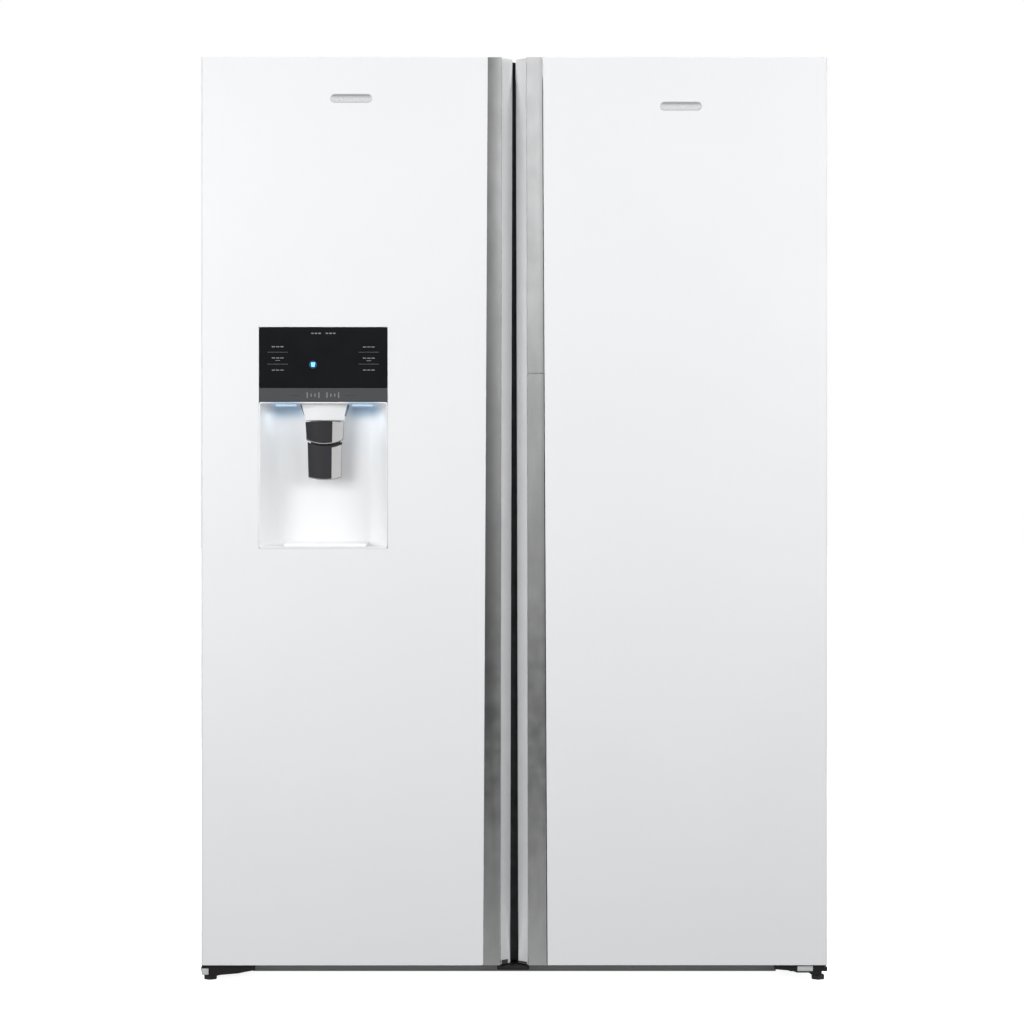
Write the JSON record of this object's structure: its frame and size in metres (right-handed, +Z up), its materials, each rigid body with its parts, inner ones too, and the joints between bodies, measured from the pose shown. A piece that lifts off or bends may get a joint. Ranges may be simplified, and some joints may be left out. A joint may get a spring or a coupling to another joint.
{
  "type": "side by side refrigerator",
  "caption": "Free-standing side by side refrigerator with freezer and fridge doors, an ice and water dispenser, full-height grips and an outer showcase door.",
  "frame": {"origin": "on the floor, under the centre of the refrigerator's bounding box", "axes": "+Z up; the doors face -Y; +X to the right seen from the front, so the freezer is on -X"},
  "size_m": [1.209, 0.74, 1.78],
  "materials": {
    "white_enamel": "smooth white enamel, semi-gloss",
    "brushed_trim": "brushed across, satin",
    "grip_grey": "smooth satin light grey",
    "black_glass": "polished black panel",
    "strip_grey": "smooth dark grey",
    "white_plastic": "smooth white moulding",
    "dark_plastic": "fine-grained black moulding",
    "lever_plastic": "glossy dark grey",
    "kick_grey": "dark grey moulding",
    "gasket_rubber": "soft grey magnetic seal",
    "clear_plastic": "clear moulded plastic",
    "shelf_glass": "toughened glass",
    "shelf_wire": "white coated wire",
    "case_paint": "fine textured pale grey paint",
    "galvanised": "zinc coated sheet",
    "fin_aluminium": "bare fin stock",
    "foam": "rigid polyurethane foam, hidden",
    "hinge_black": "black painted steel",
    "motor_black": "black enamelled steel"
  },
  "bodies": {
    "cabinet": {"outer_case": "case_paint", "foam_body": "foam", "freezer_liner": "white_plastic", "fridge_liner": "white_plastic", "back_panel": "galvanised", "base_tray": "galvanised", "kick_grille": "kick_grey", "machine_cover": "galvanised", "mains_inlet": "dark_plastic", "compressor": "motor_black", "condenser": "motor_black", "evaporator": "fin_aluminium", "evaporator_cover": "white_plastic", "ice_maker": "white_plastic", "freezer_shelf": "shelf_wire", "fridge_shelf_1": "shelf_glass", "fridge_shelf_2": "shelf_glass", "fridge_shelf_3": "shelf_glass", "upper_hinge_left": "galvanised", "hinge_cover_left": "white_plastic", "lower_hinge_left": "hinge_black", "upper_hinge_right": "galvanised", "hinge_cover_right": "white_plastic", "lower_hinge_right": "hinge_black"},
    "condenser_fan": {"condenser_fan": "dark_plastic"},
    "evaporator_fan": {"evaporator_fan": "dark_plastic"},
    "ice_bucket": {"ice_bucket": "clear_plastic"},
    "freezer_drawer_lower": {"freezer_drawer_lower": "clear_plastic"},
    "freezer_drawer_upper": {"freezer_drawer_upper": "clear_plastic"},
    "crisper_lower": {"crisper_lower": "clear_plastic"},
    "crisper_upper": {"crisper_upper": "clear_plastic"},
    "front_foot_left": {"front_foot_left": "dark_plastic"},
    "front_foot_right": {"front_foot_right": "dark_plastic"},
    "rear_roller_left": {"rear_roller_left": "dark_plastic"},
    "rear_roller_right": {"rear_roller_right": "dark_plastic"},
    "freezer_door": {"freezer_door_shell": "white_enamel", "freezer_door_liner": "white_plastic", "freezer_gasket": "gasket_rubber", "freezer_grip": "grip_grey", "freezer_trim": "brushed_trim", "freezer_bin_1": "clear_plastic", "freezer_bin_2": "clear_plastic", "dispenser_housing": "white_plastic", "control_panel": "black_glass", "mode_strip": "strip_grey", "spout_housing": "white_plastic", "drip_grille": "white_plastic"},
    "ice_lever": {"ice_lever": "lever_plastic"},
    "water_lever": {"water_lever": "lever_plastic"},
    "fridge_door": {"fridge_door_frame": "white_plastic", "fridge_gasket": "gasket_rubber", "fridge_grip": "grip_grey", "fridge_trim_lower": "brushed_trim", "fridge_bin_1": "clear_plastic", "fridge_bin_2": "clear_plastic", "fridge_bin_3": "clear_plastic", "showcase_hinge_upper": "galvanised", "showcase_hinge_lower": "galvanised"},
    "showcase": {"showcase_door": "white_enamel", "showcase_trim": "brushed_trim"}
  },
  "joints": [
    {"name": "freezer_door_swing", "type": "hinge", "parent": "cabinet", "child": "freezer_door", "pos_m": [-0.588, -0.31, 0.9], "axis": [0, 0, -1], "range_deg": [0, 115]},
    {"name": "fridge_door_swing", "type": "hinge", "parent": "cabinet", "child": "fridge_door", "pos_m": [0.588, -0.31, 0.9], "axis": [0, 0, 1], "range_deg": [0, 115]},
    {"name": "showcase_swing", "type": "hinge", "parent": "fridge_door", "child": "showcase", "pos_m": [0.592, -0.352, 0.9], "axis": [0, 0, 1], "range_deg": [0, 90]},
    {"name": "ice_lever_press", "type": "hinge", "parent": "freezer_door", "child": "ice_lever", "pos_m": [-0.3675, -0.3415, 1.079], "axis": [1, 0, 0], "range_deg": [0, 9], "stiffness_Nm_per_rad": 0.8},
    {"name": "water_lever_press", "type": "hinge", "parent": "freezer_door", "child": "water_lever", "pos_m": [-0.3675, -0.321, 1.079], "axis": [1, 0, 0], "range_deg": [0, 9], "stiffness_Nm_per_rad": 0.8},
    {"name": "ice_bucket_slide", "type": "slide", "parent": "cabinet", "child": "ice_bucket", "axis": [0, -1, 0], "range_m": [0, 0.07]},
    {"name": "freezer_drawer_lower_slide", "type": "slide", "parent": "cabinet", "child": "freezer_drawer_lower", "axis": [0, -1, 0], "range_m": [0, 0.08]},
    {"name": "freezer_drawer_upper_slide", "type": "slide", "parent": "cabinet", "child": "freezer_drawer_upper", "axis": [0, -1, 0], "range_m": [0, 0.08]},
    {"name": "crisper_lower_slide", "type": "slide", "parent": "cabinet", "child": "crisper_lower", "axis": [0, -1, 0], "range_m": [0, 0.08]},
    {"name": "crisper_upper_slide", "type": "slide", "parent": "cabinet", "child": "crisper_upper", "axis": [0, -1, 0], "range_m": [0, 0.08]},
    {"name": "condenser_fan_spin", "type": "hinge", "parent": "cabinet", "child": "condenser_fan", "pos_m": [0.2, 0.22, 0.13], "axis": [1, 0, 0], "continuous": true},
    {"name": "evaporator_fan_spin", "type": "hinge", "parent": "cabinet", "child": "evaporator_fan", "pos_m": [-0.289, 0.252, 1.08], "axis": [0, 1, 0], "continuous": true},
    {"name": "front_foot_left_turn", "type": "hinge", "parent": "cabinet", "child": "front_foot_left", "pos_m": [-0.588, -0.341, 0.01], "axis": [0, 0, 1], "continuous": true},
    {"name": "front_foot_right_turn", "type": "hinge", "parent": "cabinet", "child": "front_foot_right", "pos_m": [0.588, -0.341, 0.01], "axis": [0, 0, 1], "continuous": true},
    {"name": "rear_roller_left_roll", "type": "hinge", "parent": "cabinet", "child": "rear_roller_left", "pos_m": [-0.52, 0.3, 0.0125], "axis": [1, 0, 0], "continuous": true},
    {"name": "rear_roller_right_roll", "type": "hinge", "parent": "cabinet", "child": "rear_roller_right", "pos_m": [0.52, 0.3, 0.0125], "axis": [1, 0, 0], "continuous": true}
  ]
}
